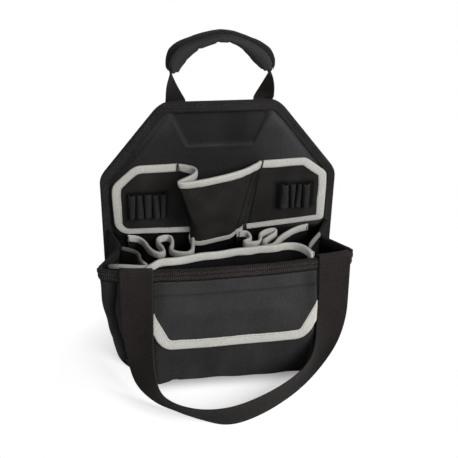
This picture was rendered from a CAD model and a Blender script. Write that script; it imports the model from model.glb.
import math

import bmesh
import bpy
import numpy as np
from mathutils import Matrix, Vector
from mathutils.bvhtree import BVHTree


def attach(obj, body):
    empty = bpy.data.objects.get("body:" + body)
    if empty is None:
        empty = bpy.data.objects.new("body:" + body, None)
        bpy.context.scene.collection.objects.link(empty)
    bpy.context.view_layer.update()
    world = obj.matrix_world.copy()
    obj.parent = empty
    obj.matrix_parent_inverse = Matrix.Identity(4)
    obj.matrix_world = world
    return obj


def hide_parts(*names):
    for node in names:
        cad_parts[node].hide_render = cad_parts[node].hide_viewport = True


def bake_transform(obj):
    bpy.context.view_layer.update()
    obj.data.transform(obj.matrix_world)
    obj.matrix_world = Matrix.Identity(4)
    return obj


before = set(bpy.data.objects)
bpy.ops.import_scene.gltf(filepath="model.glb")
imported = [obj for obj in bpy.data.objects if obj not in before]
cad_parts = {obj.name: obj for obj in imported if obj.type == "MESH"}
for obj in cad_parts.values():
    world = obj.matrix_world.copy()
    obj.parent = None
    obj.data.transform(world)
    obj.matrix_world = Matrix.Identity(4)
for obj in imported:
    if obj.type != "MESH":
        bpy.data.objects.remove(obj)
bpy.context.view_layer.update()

# Every length below is in millimetres, and is turned into metres where a mesh is made.
MM = 0.001

# Camera, worked out from the photograph: focal length in pixels of a picture 458 wide
IMAGE_SIZE = 458
FOCAL_PIXELS = 800.0
SENSOR_WIDTH = 36.0
CAMERA_TURN = (0.14347, 0.48869, -0.01879)
CAMERA_PIN = (0.0, 3.0, 150.0)
CAMERA_OFFSET = (-4.84, 16.02, 1049.21)

# Thicknesses, the clearance between pieces that touch, and the step between stations along an edge
GAP = 0.3
CLOTH = 1.5
TAPE = 1.2
STRAP = 1.8
HANDLE = 1.6
ELASTIC = 0.9
PATCH = 0.7
FINE = 2.0
EDGE_ROUNDING = 0.4

# A folded tape: its face's height off the middle of plain cloth, the stations across one leg as shares of its
# width, and those round its crest in degrees
TAPE_FACE = CLOTH / 2 + GAP + TAPE
LEG_SHARES = (1.0, 0.92, 0.82, 0.7, 0.58, 0.47, 0.36, 0.24, 0.13, 0.04)
CREST_ANGLES = (64, 32, 0, -32, -64)
TAPE_COLUMNS = 2 * len(LEG_SHARES) + len(CREST_ANGLES)
TUCK_PITCH = 3.2
TEETH_PITCH = 4.6

# Threads: half their thickness, and how far apart the stitches are
THREAD, GRIP_THREAD, BARTACK_THREAD = 0.33, 0.45, 0.6
STITCH_LENGTH, STITCH_STEP, BARTACK_STEP = 1.15, 3.1, 1.6

# Back panel
PANEL_HALF = 158.5
PANEL_TOP = 316.5
PANEL_FOOT = 0.7
PANEL_TOP_HALF = 76.5
PANEL_SHOULDER = 216.0
PANEL_CORNER = (9.0, 12.0)
PAD_BACK_Y = 72.0
PAD_EDGE_Y = 69.0
PAD_FACE_Y = 65.0
OUTER_BACK_Y = 77.1
BINDING_WIDTH = 10.5
PAD_STATIONS, OUTER_STATIONS = 161, 91
RECESS_TOP = (63.0, 302.0)
RECESS_FOOT = (44.0, 262.0)
RECESS_DEPTH = 4.4
RIDGE_TOP = (66.0, 303.0)
RIDGE_FOOT = (141.0, 232.0)

# Pouch
FRONT_Y = -72.0
RIM_HEIGHT = 141.0
RIM_SETBACK = 28.0
FLAT_HALF = (95.0, 108.0)
SEAM_HALF = (151.0, 164.5)
SEAM_SETBACK = (60.0, 45.0)
WALL_FOOT = 2.3
FRONT_PANEL = 2.5
RIM_TAPE_WIDTH = 13.2
RIM_TAPE_FACE = 3.05
# The rim tape's tones from its sewn edge to its crest: two pale ridges with a dark groove between them
RIM_TAPE_TONES = (-0.75, -0.55, 0.05, 0.25, 0.2, -0.4, 0.15, 0.2, 0.0, -0.25)
FOLD_TOP = {-1: (136.0, 18.0), 1: (130.0, 24.0)}
FOLD_FOOT = (153.5, 17.0)
TIE_HALF = (154.5, 152.0)
TIE_Y = 66.9
GUSSET_TAPE_WIDTH = 9.0
BASE_CLOTH = 1.9
BASE_REACH = 1.2
BASE_REAR = (155.8, 67.2)
LEAN = 6.5
RIM_SAG = (2.2, 1.4)
TILT = 0.024
FOOT_TUCK = 4.0
SIDES = ((-1, "left"), (1, "right"))

# Colours (linear)
BLACK = (0.0270, 0.0268, 0.0272)
CHARCOAL = (0.0430, 0.0425, 0.0430)
STRAP_BLACK = (0.0385, 0.0330, 0.0308)
TAPE_BLACK = (0.0470, 0.0442, 0.0432)
RIM_BLACK = (0.0510, 0.0450, 0.0420)
WARM_BLACK = (0.0235, 0.0218, 0.0210)
GRIP_BLACK = (0.0430, 0.0420, 0.0424)
TAPE_GREY = (0.700, 0.680, 0.632)
WHITE = (1.0, 1.0, 1.0, 1.0)


# Numbers, rows and grids


def lerp(start, end, share):
    return start + (end - start) * share


def ease(share):
    """A smooth step from 0 to 1 as the share goes from 0 to 1."""
    share = np.clip(share, 0.0, 1.0)
    return share * share * (3 - 2 * share)


def bell(distance, width):
    """1 at no distance, and next to nothing at two widths either way."""
    return np.exp(-((distance / width) ** 2))


def hump(share):
    """0 at both ends of a share and 1 in its middle."""
    return np.sin(math.pi * np.clip(share, 0, 1))


def unit(vectors):
    return vectors / np.maximum(np.linalg.norm(vectors, axis=-1, keepdims=True), 1e-9)


def ripple(points, size, seed, waves=7):
    """Smooth, irregular values from about -1 to 1 over points, with swells of the given size."""
    draw = np.random.default_rng(seed)
    total = np.zeros(points.shape[:-1])
    for _ in range(waves):
        way = unit(draw.normal(size=3))
        length = size * draw.uniform(0.7, 1.6)
        total += np.sin(points @ way * (2 * math.pi / length) + draw.uniform(0, 2 * math.pi))
    return total / math.sqrt(waves)


def lengths(grid, axis):
    """How far each point of a grid is along its row or column."""
    steps = np.linalg.norm(np.diff(grid, axis=axis), axis=-1)
    start = np.zeros_like(np.take(steps, [0], axis=axis))
    return np.concatenate([start, np.cumsum(steps, axis=axis)], axis=axis)


def picked(rows, run, places):
    """The rows of a table at the given places along its run."""
    return np.column_stack([np.interp(places, run, column) for column in rows.T])


def evenly(rows, points, step):
    """The rows of a table at an even step along its points."""
    run = lengths(points, 0)
    return picked(rows, run, np.linspace(0, run[-1], max(2, round(run[-1] / step) + 1)))


def smooth(table, rounds=10):
    """A dense, smooth curve through the rows of a table."""
    table = np.asarray(table, float)
    around = np.vstack([table[:1], table, table[-1:]])
    share = (np.arange(rounds) / rounds)[:, None]
    parts = []
    for a, b, c, d in zip(around, around[1:], around[2:], around[3:]):
        bend = 2 * a - 5 * b + 4 * c - d + share * (3 * (b - c) + d - a)
        parts.append(b + 0.5 * share * (c - a + share * bend))
    return np.vstack([*parts, table[-1:]])


def refine(table, step, rounds=10):
    """Rows at an even step along a smooth curve through a table that begins with x, y and z."""
    dense = smooth(table, rounds)
    return evenly(dense, dense[:, :3], step)


def resample_row(row, count):
    """A number of points spread evenly along a smooth curve through a row."""
    dense = refine(row, 0.5)
    return picked(dense, np.arange(len(dense)), np.linspace(0, len(dense) - 1, count))


def dense_line(points, step=1.0):
    """Points at an even step along straight lines."""
    points = np.asarray(points, float)
    return evenly(points, points, step)


def grid_normals(grid, wrap=False):
    if wrap:
        across = np.roll(grid, -1, axis=1) - np.roll(grid, 1, axis=1)
    else:
        across = np.gradient(grid, axis=1)
    return unit(np.cross(across, np.gradient(grid, axis=0)))


def front_normals(grid, foot=0.0):
    """Normals that look to the front, and with a foot of 1 also downwards."""
    normal = grid_normals(grid)
    return normal * np.sign(-normal[..., 1:2] - foot * normal[..., 2:3] + 1e-9)


def lean(points):
    """The filled pouch leans a little to the right, and its rim sags in the middle and rises to the right."""
    x, y, z = points[..., 0], points[..., 1], points[..., 2]
    share = np.clip(z / RIM_HEIGHT, 0, 1.1)
    inside = ease((lerp(*SEAM_HALF, share) - np.abs(x)) / 14.0)
    front = ease((14.0 - y) / 42.0)
    middle = ease((110.0 - np.abs(x)) / 70.0) * front
    across = lerp(np.where(x < 0, 0.0, -3.0), LEAN, inside) * share * front
    tucked = FOOT_TUCK * ease((75.0 - z) / 60.0) * ease((-x - 95.0) / 45.0) * front
    down = middle * ease((z - 60.0) / 81.0) * RIM_SAG[1] - TILT * x * ease(z / 45.0) * front
    return points + np.stack([across + tucked, -middle * share * RIM_SAG[0], -down], axis=-1)


def strap_lean(points):
    """The strap goes with the pouch, and further to the right on its left side."""
    share = np.clip(points[..., 2] / RIM_HEIGHT, 0, 1.1)
    across = (LEAN + 3.0 * ease((-points[..., 0] - 40) / 60)) * share
    up = (TILT + 0.014 * (points[..., 0] > 0)) * points[..., 0] * ease(points[..., 2] / 45.0)
    return points + np.stack([across, np.zeros_like(share), up], axis=-1)


# Meshes


def add_object(name, data):
    obj = bpy.data.objects.new(name, data)
    bpy.context.scene.collection.objects.link(obj)
    return obj


def vertex_values(mesh, name):
    """One vector for each point of a mesh: its place or its normal."""
    values = np.zeros(len(mesh.vertices) * 3)
    mesh.vertices.foreach_get(name, values)
    return values.reshape(-1, 3)


def mesh_points(mesh):
    return vertex_values(mesh, "co") / MM


def set_points(mesh, points):
    mesh.vertices.foreach_set("co", (points * MM).ravel())


def set_map(mesh, places):
    """Gives a mesh each point's place on the flat cloth."""
    layer = mesh.uv_layers.get("cloth") or mesh.uv_layers.new(name="cloth")
    corners = np.zeros(len(mesh.loops), dtype=np.int64)
    mesh.loops.foreach_get("vertex_index", corners)
    layer.data.foreach_set("uv", (places[corners] * MM).ravel())


def mesh_object(name, points, faces, places):
    mesh = bpy.data.meshes.new(name)
    mesh.from_pydata((points * MM).tolist(), [], faces)
    set_map(mesh, places)
    bm = bmesh.new()
    bm.from_mesh(mesh)
    bmesh.ops.recalc_face_normals(bm, faces=bm.faces)
    bm.to_mesh(mesh)
    bm.free()
    mesh.shade_smooth()
    return add_object(name, mesh)


def numbered(grid, wrap=False):
    """The number of each point of a grid, with the first column again at the end of a wrapped one."""
    index = np.arange(grid.shape[0] * grid.shape[1]).reshape(grid.shape[:2])
    return np.column_stack([index, index[:, :1]]) if wrap else index


def sheet_faces(index):
    corners = [index[:-1, :-1], index[:-1, 1:], index[1:, 1:], index[1:, :-1]]
    return np.stack(corners, axis=-1).reshape(-1, 4)


def outline_ring(index):
    return np.concatenate([index[0], index[1:, -1], index[-1, -2::-1], index[-2:0:-1, 0]])


def cloth_map(grid):
    """Each point's place on the flat cloth, measured from its middle column."""
    u, middle = lengths(grid, 1), grid.shape[1] // 2
    return np.stack([u - u[:, middle : middle + 1], lengths(grid, 0)], axis=-1).reshape(-1, 2)


def shell_mesh(name, grid, thickness, wrap=False):
    """A closed sheet of even thickness round a grid of points, with a rounded edge."""
    lift = grid_normals(grid, wrap) * thickness / 2
    outward = np.zeros_like(grid)
    outward[0] += unit(grid[0] - grid[1])
    outward[-1] += unit(grid[-1] - grid[-2])
    if not wrap:
        outward[:, 0] += unit(grid[:, 0] - grid[:, 1])
        outward[:, -1] += unit(grid[:, -1] - grid[:, -2])
    index = numbered(grid)
    rings = [index[0], index[-1]] if wrap else [outline_ring(index)]
    quads = sheet_faces(numbered(grid, wrap))
    faces = quads.tolist() + (quads[:, ::-1] + index.size).tolist()
    points = [(grid + lift).reshape(-1, 3), (grid - lift).reshape(-1, 3)]
    place_on = cloth_map(grid)
    places = [place_on, place_on]
    flat, edge_out = grid.reshape(-1, 3), unit(outward).reshape(-1, 3)
    count = 2 * index.size
    for ring in rings:
        points.append(flat[ring] + edge_out[ring] * thickness * EDGE_ROUNDING)
        places.append(place_on[ring])
        middle = np.arange(count, count + len(ring))
        after, middle_after = np.roll(ring, -1), np.roll(middle, -1)
        faces += np.stack([ring, after, middle_after, middle], axis=-1).tolist()
        faces += np.stack([middle, middle_after, after + index.size, ring + index.size], axis=-1).tolist()
        count += len(ring)
    return mesh_object(name, np.vstack(points), faces, np.vstack(places))


def closed_mesh(name, front, back):
    """A solid between two grids of the same size that share their outline's plan."""
    index = numbered(front)
    quads, ring = sheet_faces(index), outline_ring(index)
    after = np.roll(ring, -1)
    sides = np.stack([ring, after, after + index.size, ring + index.size], axis=-1)
    faces = quads.tolist() + (quads[:, ::-1] + index.size).tolist() + sides.tolist()
    points = np.vstack([front.reshape(-1, 3), back.reshape(-1, 3)])
    return mesh_object(name, points, faces, np.tile(cloth_map(front), (2, 1)))


def closed_tube(name, grid):
    """A tube of rings, closed at both ends."""
    index = numbered(grid)
    faces = sheet_faces(numbered(grid, wrap=True)).tolist() + [index[0, ::-1].tolist(), index[-1].tolist()]
    return mesh_object(name, grid.reshape(-1, 3), faces, np.zeros((index.size, 2)))


def fold_profile(core, ridges):
    """Across a folded tape: a share of its width, a reach past the edge and a height off the middle."""
    reach = GAP + TAPE / 2
    lift = core / 2 + reach
    leg = [(share, 0.0, lift + 0.25 * math.sin(math.pi * share) - ridges * bell(share - 0.5, 0.09))
           for share in LEG_SHARES]
    crest = [(0.0, -reach * math.cos(turn), lift * math.sin(turn)) for turn in np.radians(CREST_ANGLES)]
    return leg + crest + [(share, fixed, -out) for share, fixed, out in reversed(leg)]


def tape_grid(path, inward, normal, core, width, seed, one_sided=False, ridges=0.0, zigzag=0.0):
    """The middle surface of a tape folded over the edge of a sheet of cloth."""
    profile = fold_profile(core, ridges)
    if one_sided:
        profile = profile[: len(LEG_SHARES) + 3]
    run = lengths(path, 0)
    swell = ripple(path, 23.0, seed)
    columns = []
    for share, fixed, out in profile:
        sign = math.copysign(1.0, out)
        bite = 0.16 * np.sin(run * 2 * math.pi / TUCK_PITCH) * bell(share - 0.8, 0.18)
        teeth = zigzag * np.abs((run / TEETH_PITCH) % 2 - 1) * bell(share - 1.0, 0.12)
        reach = share * (width + 0.22 * swell) + fixed + teeth
        columns.append(path + inward * reach[:, None] + normal * (out + sign * (bite + 0.1 * swell))[:, None])
    return np.stack(columns, axis=1)


# Materials


class Nodes:
    """Adds nodes to a material and links them from their names."""

    def __init__(self, material):
        self.tree = material.node_tree

    def feed(self, node, values):
        """Links or sets a node's inputs."""
        for key, value in values.items():
            if isinstance(value, bpy.types.NodeSocket):
                self.tree.links.new(value, node.inputs[key])
            else:
                node.inputs[key].default_value = value
        return node

    def add(self, kind, values=None, **settings):
        node = self.tree.nodes.new(kind)
        for key, value in settings.items():
            setattr(node, key, value)
        return self.feed(node, values or {})

    def place(self, label):
        return self.add("ShaderNodeTexCoord").outputs[label]

    def maths(self, operation, a, b=0.0):
        return self.add("ShaderNodeMath", {0: a, 1: b}, operation=operation).outputs[0]

    def vector(self, operation, *values):
        node = self.add("ShaderNodeVectorMath", dict(enumerate(values)), operation=operation)
        return node.outputs["Value" if operation in ("LENGTH", "DISTANCE") else "Vector"]

    def mapped(self, vector, **values):
        return self.add("ShaderNodeMapping", {"Vector": vector, **values}).outputs[0]

    def bands(self, vector, pitch, direction):
        """Even waves of the given pitch in metres."""
        values = {"Vector": vector, "Scale": math.pi / 10 / pitch}
        wave = self.add("ShaderNodeTexWave", values, wave_type="BANDS", wave_profile="SIN",
                        bands_direction=direction)
        return wave.outputs["Fac"]

    def noise(self, vector, scale, detail=3.0, roughness=0.55):
        values = {"Vector": vector, "Scale": scale, "Detail": detail, "Roughness": roughness}
        return self.add("ShaderNodeTexNoise", values).outputs["Fac"]

    def spread(self, value, low, high, to_low=0.0, to_high=1.0, kind="LINEAR"):
        values = {"Value": value, "From Min": low, "From Max": high, "To Min": to_low, "To Max": to_high}
        return self.add("ShaderNodeMapRange", values, interpolation_type=kind).outputs["Result"]

    def blend(self, share, first, second):
        return self.add("ShaderNodeMix", {0: share, 6: first, 7: second}, data_type="RGBA").outputs[2]

    def bump(self, height, distance, strength, **values):
        values.update(Height=height, Distance=distance, Strength=strength)
        return self.add("ShaderNodeBump", values).outputs["Normal"]

    def glow(self, strength):
        return self.add("ShaderNodeEmission", {"Color": WHITE, "Strength": strength}).outputs[0]

    def either(self, share, first, second):
        return self.add("ShaderNodeMixShader", {0: share, 1: first, 2: second}).outputs[0]


def new_material(name):
    material = bpy.data.materials.new(name)
    material.use_nodes = True
    return material, Nodes(material), material.node_tree.nodes["Principled BSDF"]


def shade(colour, factor):
    return (*[min(1.0, channel * factor) for channel in colour], 1.0)


def weave_height(nodes, kind, pitch):
    """The height of the threads over the cloth's own map, which is in metres."""
    flat = nodes.place("UV")
    if kind == "twill":
        flat = nodes.mapped(flat, Rotation=(0.0, 0.0, math.radians(38)))
    warp, weft = nodes.bands(flat, pitch[0], "X"), nodes.bands(flat, pitch[1], "Y")
    neither = nodes.maths("MULTIPLY", nodes.maths("SUBTRACT", 1.0, warp), nodes.maths("SUBTRACT", 1.0, weft))
    return nodes.maths("ADD", nodes.maths("MULTIPLY", warp, weft), neither)


def cloth_material(name, colour, kind="plain", pitch=(0.0011, 0.0011), depth=0.00012, roughness=(0.72, 0.9),
                   contrast=0.30, crumple=0.0006, wear=0.35, streaks=0.0, thread_shade=0.62):
    """Woven cloth, tape or webbing: threads, slubs, soft creases, faded edges and a matt sheen."""
    material, nodes, shader = new_material(name)
    place = nodes.place("Object")
    threads = weave_height(nodes, kind, pitch)
    slubs = nodes.noise(place, 900.0, 2.0)
    patches = nodes.noise(place, 24.0, 4.0, 0.6)
    creases = nodes.noise(place, 75.0, 3.0, 0.5)
    darker, paler = shade(colour, 1 - contrast), shade(colour, 1 + contrast)
    tone = nodes.blend(nodes.spread(patches, 0.3, 0.7), darker, paler)
    lit = nodes.blend(nodes.spread(threads, 0.1, 0.9), shade(colour, thread_shade), tone)
    flecks = nodes.blend(nodes.spread(slubs, 0.52, 0.72, 0.0, 0.4), lit, shade(colour, 1.9))
    if streaks:
        grain = nodes.noise(nodes.mapped(place, Scale=(1.0, 1.0, 0.05)), 420.0, 3.0, 0.7)
        flecks = nodes.blend(nodes.spread(grain, 0.35, 0.7, 0.0, streaks), flecks, shade(colour, 2.2))
    pointed = nodes.add("ShaderNodeNewGeometry").outputs["Pointiness"]
    rubbed = nodes.blend(nodes.spread(pointed, 0.53, 0.62, 0.0, wear), flecks, shade(colour, 2.1))
    tones = nodes.add("ShaderNodeAttribute", attribute_name="tone").outputs["Fac"]
    values = {0: rubbed, "Scale": nodes.maths("ADD", tones, 1.0)}
    nodes.feed(shader, {
        "Base Color": nodes.add("ShaderNodeVectorMath", values, operation="SCALE").outputs[0],
        "Roughness": nodes.spread(patches, 0.25, 0.75, *roughness),
        "Normal": nodes.bump(threads, depth, 0.9, Normal=nodes.bump(creases, crumple, 0.7)),
        "Sheen Weight": 0.04,
        "Sheen Roughness": 0.45,
        "Specular IOR Level": 0.04,
    })
    return material


def plain_material(name, colour, roughness, grain, depth):
    """Pressed plastic, foam or thread: a fine grain and a little change of tone."""
    material, nodes, shader = new_material(name)
    place = nodes.place("Object")
    fine = nodes.noise(place, grain, 4.0, 0.7)
    broad = nodes.noise(place, 30.0, 3.0)
    tone = nodes.blend(nodes.spread(broad, 0.3, 0.7), shade(colour, 0.75), shade(colour, 1.3))
    nodes.feed(shader, {
        "Base Color": nodes.blend(nodes.spread(fine, 0.3, 0.8, 0.0, 0.5), tone, shade(colour, 0.5)),
        "Roughness": nodes.spread(broad, 0.3, 0.7, roughness - 0.08, roughness + 0.08),
        "Normal": nodes.bump(fine, depth, 0.8),
    })
    return material


LOOKS = {
    "black_cloth": cloth_material("black_woven_cloth", BLACK, streaks=0.15),
    "wing_cloth": cloth_material("flat_black_cloth", WARM_BLACK, contrast=0.35, streaks=0.08),
    "padded_cloth": cloth_material("padded_woven_cloth", BLACK, crumple=0.0008, contrast=0.2, streaks=0.1),
    "grip_cloth": cloth_material("grip_woven_cloth", GRIP_BLACK, crumple=0.0010, contrast=0.2),
    "charcoal_cloth": cloth_material("charcoal_woven_cloth", CHARCOAL, pitch=(0.0013, 0.0013), crumple=0.0009,
                                     streaks=0.1),
    "black_tape": cloth_material("ridged_black_tape", TAPE_BLACK, "twill", (0.0042, 0.0030), 0.0008,
                                 thread_shade=0.08),
    "rim_tape": cloth_material("twilled_rim_tape", RIM_BLACK, "twill", (0.0046, 0.0034), 0.0009,
                               thread_shade=0.0),
    "grey_tape": cloth_material("pale_grey_tape", TAPE_GREY, "twill", (0.0022, 0.0018), 0.0002,
                                contrast=0.09, crumple=0.0003, wear=0.15, thread_shade=0.55),
    "webbing": cloth_material("ribbed_webbing", STRAP_BLACK, pitch=(0.0027, 0.0025), depth=0.0005,
                              roughness=(0.55, 0.75), contrast=0.2, crumple=0.0003, thread_shade=0.1),
    "elastic": cloth_material("ribbed_elastic", BLACK, pitch=(0.0024, 0.0008), depth=0.00025),
    "hook_and_loop": plain_material("hook_and_loop_strip", (0.016, 0.016, 0.016), 0.9, 1500.0, 0.0008),
    "stiffening_board": plain_material("stiffening_board", (0.05, 0.05, 0.05), 0.5, 700.0, 0.0001),
    "foam": plain_material("cut_foam", (0.06, 0.06, 0.06), 0.92, 900.0, 0.0005),
    "black_thread": plain_material("black_thread", (0.008, 0.008, 0.008), 0.6, 2500.0, 0.0001),
    "grey_thread": plain_material("grey_thread", (0.33, 0.32, 0.29), 0.6, 2500.0, 0.0001),
}


def place(obj, look, body, *nodes):
    """Gives a piece its material and slot, sets it on its body and lets it stand for its nodes."""
    obj.data.materials.append(LOOKS[look])
    if isinstance(body, tuple):
        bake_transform(obj)
    else:
        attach(obj, body)
    if nodes:
        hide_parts(*nodes)
    return obj


def tint(obj, values):
    """Paler or darker places of a cloth, from -1 to 1, on the first points of its mesh."""
    layer = obj.data.attributes.get("tone") or obj.data.attributes.new("tone", "FLOAT", "POINT")
    tones = np.zeros(len(obj.data.vertices), dtype=np.float32)
    flat = np.ravel(values)
    tones[: len(flat)] = flat
    tones[len(flat) : 2 * len(flat)] = flat[: max(0, len(tones) - len(flat))]
    layer.data.foreach_set("value", tones)


def cloth_piece(name, grid, look, body, *nodes, thickness=CLOTH, wrap=False):
    return place(shell_mesh(name, grid, thickness, wrap), look, body, *nodes)


def tape_piece(name, path, inward, normal, core, width, look, body, *nodes, seed=1, **shape):
    """A folded tape; its sewn edge is darker."""
    grid = tape_grid(path, inward, normal, core, width, seed, **shape)
    tape = place(shell_mesh(name, grid, TAPE), look, body, *nodes)
    across = np.arange(grid.shape[1])
    last = 99 if shape.get("one_sided") else grid.shape[1] - 1
    sewn = np.exp(-((np.minimum(across, last - across) - 0.6) ** 2) / 0.8)
    tint(tape, np.tile(sewn * (-0.12 if look == "grey_tape" else -0.5), (len(path), 1)))
    return tape


def along_tape(tones):
    """One tone for each station of a folded tape."""
    return np.repeat(np.reshape(tones, (-1, 1)), TAPE_COLUMNS, axis=1)


def edge_frames(edge, inner):
    """Even stations along the edge of a bent sheet: places, ways inward and normals."""
    table = refine(np.hstack([edge, inner]), FINE)
    path, inward = table[:, :3], unit(table[:, 3:] - table[:, :3])
    return path, inward, unit(np.cross(np.gradient(path, axis=0), inward))


def flat_frames(path):
    """Ways inward and normals along an edge that lies on the back panel."""
    normal = np.tile([0.0, -1.0, 0.0], (len(path), 1))
    return unit(np.cross(np.gradient(path, axis=0), normal)), normal


# Rows of stitches are gathered here as they are met, and made at the end
SEAMS = {}


def seam(body, thread, path, thick=THREAD):
    SEAMS.setdefault((body, thread, thick), []).append(np.asarray(path, float))


def sewn_tape(path, inward, normal, reach, lift, thread="grey_thread"):
    """A row of stitches on each face of a folded tape, at a reach from its crest."""
    for side in (1, -1):
        seam("bag", thread, path + inward * np.reshape(reach, (-1, 1)) + normal * side * lift)


def bartack(start, end, spread):
    """A short dense block of stitches from one place to another, seen from the front."""
    start, end = np.array(start, float), np.array(end, float)
    side = unit(np.cross(end - start, (0.0, -1.0, 0.0)))
    count = max(4, int(np.linalg.norm(end - start) / 0.7))
    points = [lerp(start, end, step / count) + side * (spread if step % 2 else -spread)
              for step in range(count + 1)]
    seam("bag", "black_thread", points, BARTACK_THREAD)


# Back panel


def panel_half(height):
    """Half the back panel's width at a height, with its corners rounded."""
    slope = (PANEL_HALF - PANEL_TOP_HALF) / (PANEL_TOP - PANEL_SHOULDER)
    half = np.where(height > PANEL_SHOULDER, PANEL_HALF - (height - PANEL_SHOULDER) * slope, PANEL_HALF)
    near = np.clip(1 - np.abs(height - PANEL_SHOULDER) / 8.0, 0, 1)
    left = np.clip((PANEL_TOP - height) / PANEL_CORNER[1], 0, 1)
    return half - 1.7 * near * near - PANEL_CORNER[0] * (1 - np.sqrt(np.clip(1 - (1 - left) ** 2, 0, 1)))


def panel_outline():
    """Left foot, up, over the top and down to the right foot."""
    spans = ((PANEL_FOOT, 198, 38), (200, 232, 16), (236, 300, 14), (302, PANEL_TOP, 14))
    heights = np.concatenate([np.linspace(*span) for span in spans])
    left = np.stack([-panel_half(heights), np.zeros_like(heights), heights], axis=-1)
    top = np.array([[x, 0, PANEL_TOP] for x in np.linspace(-62, 62, 9)])
    return refine(np.vstack([left, top, left[::-1] * (-1, 1, 1)]), FINE, 4)


def panel_inset(x, z):
    """How far a place on the back panel is from its outline; its foot hardly counts."""
    slope = math.hypot(PANEL_TOP - PANEL_SHOULDER, PANEL_HALF - PANEL_TOP_HALF)
    across = (PANEL_TOP - PANEL_SHOULDER) / slope
    up = (PANEL_HALF - PANEL_TOP_HALF) / slope
    chamfer = (PANEL_HALF - np.abs(x)) * across + (PANEL_SHOULDER - z) * up
    return np.minimum.reduce([PANEL_HALF - np.abs(x), PANEL_TOP - z, chamfer, z + 30.0])


def panel_grid(depth, count):
    heights = np.linspace(0, PANEL_TOP, count)
    heights[-1] = PANEL_TOP - 0.01
    x = panel_half(heights)[:, None] * np.linspace(-1, 1, count)
    z = np.repeat(heights[:, None], count, axis=1)
    return np.stack([x, np.full_like(x, depth), z], axis=-1)


def recess_inset(x, z):
    """How far a place is inside the recess: negative outside it."""
    (top_half, top), (foot_half, foot) = RECESS_TOP, RECESS_FOOT
    run = math.hypot(top - foot, top_half - foot_half)
    side = (foot_half + (z - foot) * (top_half - foot_half) / (top - foot) - np.abs(x)) * (top - foot) / run
    return np.minimum(side, z - foot)


def back_panel():
    """The pressed, padded face, the rear cloth and the tape round both."""
    grid = panel_grid(PAD_EDGE_Y, PAD_STATIONS)
    x, z = grid[..., 0], grid[..., 2]
    inset = panel_inset(x, z)
    recess = recess_inset(x, z)
    raised = ease((inset - 13.0) / 6.5) * (PAD_EDGE_Y - PAD_FACE_Y)
    crown = ease((z - 238) / 30) * ease((inset - 18) / 40) * 1.6
    pressed = ease((recess + 1.5) / 3.8) * RECESS_DEPTH * ease((inset - 11.5) / 5)
    way = np.subtract(RIDGE_FOOT, RIDGE_TOP)
    across, up = np.abs(x) - RIDGE_TOP[0], z - RIDGE_TOP[1]
    share = np.clip((across * way[0] + up * way[1]) / (way @ way), 0, 1)
    away = np.hypot(across - share * way[0], up - share * way[1])
    ridge = bell(away, 4.2) * 1.3
    lip = bell(recess + 3.5, 3.0) * ease((z - 250) / 10) * 0.9
    slack = ripple(grid, 46.0, 3) * 0.3 * ease((inset - 16) / 14) * ease((z - 240) / 12)
    edge = np.sin((x + z) * 2 * math.pi / 9.0) * 0.25 * bell(inset - 12, 2.5)
    grid[..., 1] -= raised + crown + ridge + lip - pressed + slack + edge
    face = closed_mesh("back_panel_face", grid, panel_grid(PAD_BACK_Y, PAD_STATIONS))
    panel = place(face, "padded_cloth", "bag", "back_padded_panel")
    side = np.where(x < 0, 1.0, 0.35) + ease((270 - z) / 8) * 0.4
    rubbed = bell(recess + 0.6, 1.5) * ease((z - 255) / 5) * side
    facet = ease((z - 262) / 34) * ease((-recess - 2) / 5) * ease((22 - away) / 18)
    tones = 0.5 * rubbed + 0.5 * facet + 0.25 * bell(away, 5.0) - 0.22 * ease((recess + 1) / 5)
    tones += 0.12 * ripple(grid, 55.0, 5) * ease((z - 240) / 20) - 0.45 * bell(inset - 11.2, 1.6)
    tones += 0.85 * ease((x - 40) / 80) - 0.14 * ease((-x - 60) / 70)
    tint(panel, lerp(tones, -0.8, ease((140 - z) / 8)))
    outer = panel_grid(OUTER_BACK_Y - CLOTH / 2, OUTER_STATIONS)
    outer[..., 2] = np.maximum(outer[..., 2], PANEL_FOOT)
    inset = panel_inset(outer[..., 0], outer[..., 2])
    outer[..., 1] += ease((inset - 11) / 14) * (0.35 + 0.4 * ripple(outer, 70.0, 11))
    cloth_piece("back_outer_cloth", outer, "black_cloth", "bag", "back_outer_panel")
    core = OUTER_BACK_Y - PAD_EDGE_Y
    path = panel_outline()
    path[:, 1] = PAD_EDGE_Y + core / 2
    inward, normal = flat_frames(path)
    tape_piece("back_binding", path, inward, normal, core, BINDING_WIDTH, "black_tape", "bag",
               "back_panel_binding", seed=4, ridges=0.25)
    lift = core / 2 + GAP + TAPE + 0.05
    for side in (1, -1):
        for reach in (BINDING_WIDTH - 2.2, 3.0):
            seam("bag", "black_thread", (path + inward * reach + normal * side * lift)[2:-2])


# Pouch


def front_point(side, turn, height):
    """A place on the front panel: its flat front ends at a turn of 0, and its seam is at a quarter turn."""
    share = height / RIM_HEIGHT
    flat = lerp(*FLAT_HALF, share)
    front = FRONT_Y + RIM_SETBACK * share
    seam_y = FRONT_Y + lerp(*SEAM_SETBACK, share)
    across = flat + (lerp(*SEAM_HALF, share) - flat) * np.sin(turn)
    rear = front + (seam_y - front) * (1 - np.cos(turn))
    return np.stack([side * across, rear, np.full_like(across, height)], axis=-1)


def front_row(height, turns=22):
    """One level of the front panel, from its left seam to its right one."""
    corner = np.linspace(0, math.pi / 2, turns + 1)
    left = front_point(-1, corner[::-1], float(height))
    right = front_point(1, corner, float(height))
    return np.vstack([left, np.linspace(left[-1], right[0], 41)[1:-1], right])


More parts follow.
